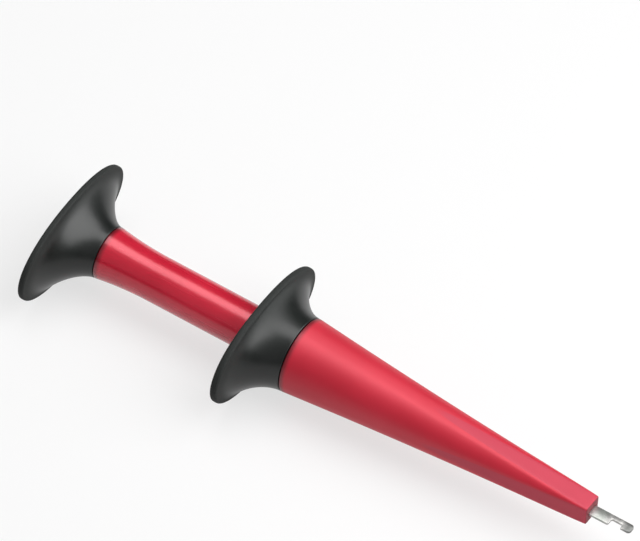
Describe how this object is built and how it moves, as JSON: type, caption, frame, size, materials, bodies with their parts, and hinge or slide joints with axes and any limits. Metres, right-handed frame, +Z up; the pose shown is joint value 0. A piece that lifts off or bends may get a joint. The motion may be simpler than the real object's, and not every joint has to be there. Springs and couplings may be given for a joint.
{
  "type": "grabber test hook",
  "caption": "Insulated spring-loaded test hook with oval soft grips, tapered nose, sliding plunger, flat metal hook and rear socket for a shrouded test plug.",
  "frame": {"origin": "on the surface that the tool lies on, under the middle of its length", "axes": "+X along the tool's axis towards the hook, Y along the long way of the oval grips, +Z up"},
  "size_m": [0.1674, 0.0464, 0.0258],
  "materials": {
    "red_plastic": "gloss moulded",
    "soft_rubber": "satin soft touch",
    "hard_plastic": "matte moulded",
    "bearing_plastic": "natural, smooth",
    "plated_steel": "nickel plate",
    "plated_brass": "nickel plate over brass",
    "spring_steel": "drawn wire and stamped strip",
    "rod_insulation": "extruded sleeve"
  },
  "bodies": {
    "barrel": {"nose_shell": "red_plastic", "finger_grip": "soft_rubber", "collar_core": "hard_plastic", "guide_bush": "bearing_plastic", "snap_ring": "spring_steel", "spring_washer": "spring_steel", "return_spring": "spring_steel"},
    "plunger": {"thumb_grip": "soft_rubber", "thumb_core": "hard_plastic", "plunger_tube": "red_plastic", "plunger_stop": "bearing_plastic", "rod_plug": "hard_plastic", "spring_cup": "spring_steel", "jack_insulator": "hard_plastic", "contact_socket": "plated_brass", "contact_clip": "spring_steel", "crimp_sleeve": "plated_brass", "hook_rod": "plated_brass", "rod_sleeve": "rod_insulation", "hook_ferrule": "plated_brass", "hook_blade": "plated_steel"}
  },
  "joints": [
    {"name": "plunger_slide", "type": "slide", "parent": "barrel", "child": "plunger", "axis": [1, 0, 0], "range_m": [-0.0118, 0], "stiffness_N_per_m": 180, "springref_m": -0.033, "deforming": ["return_spring"]}
  ]
}
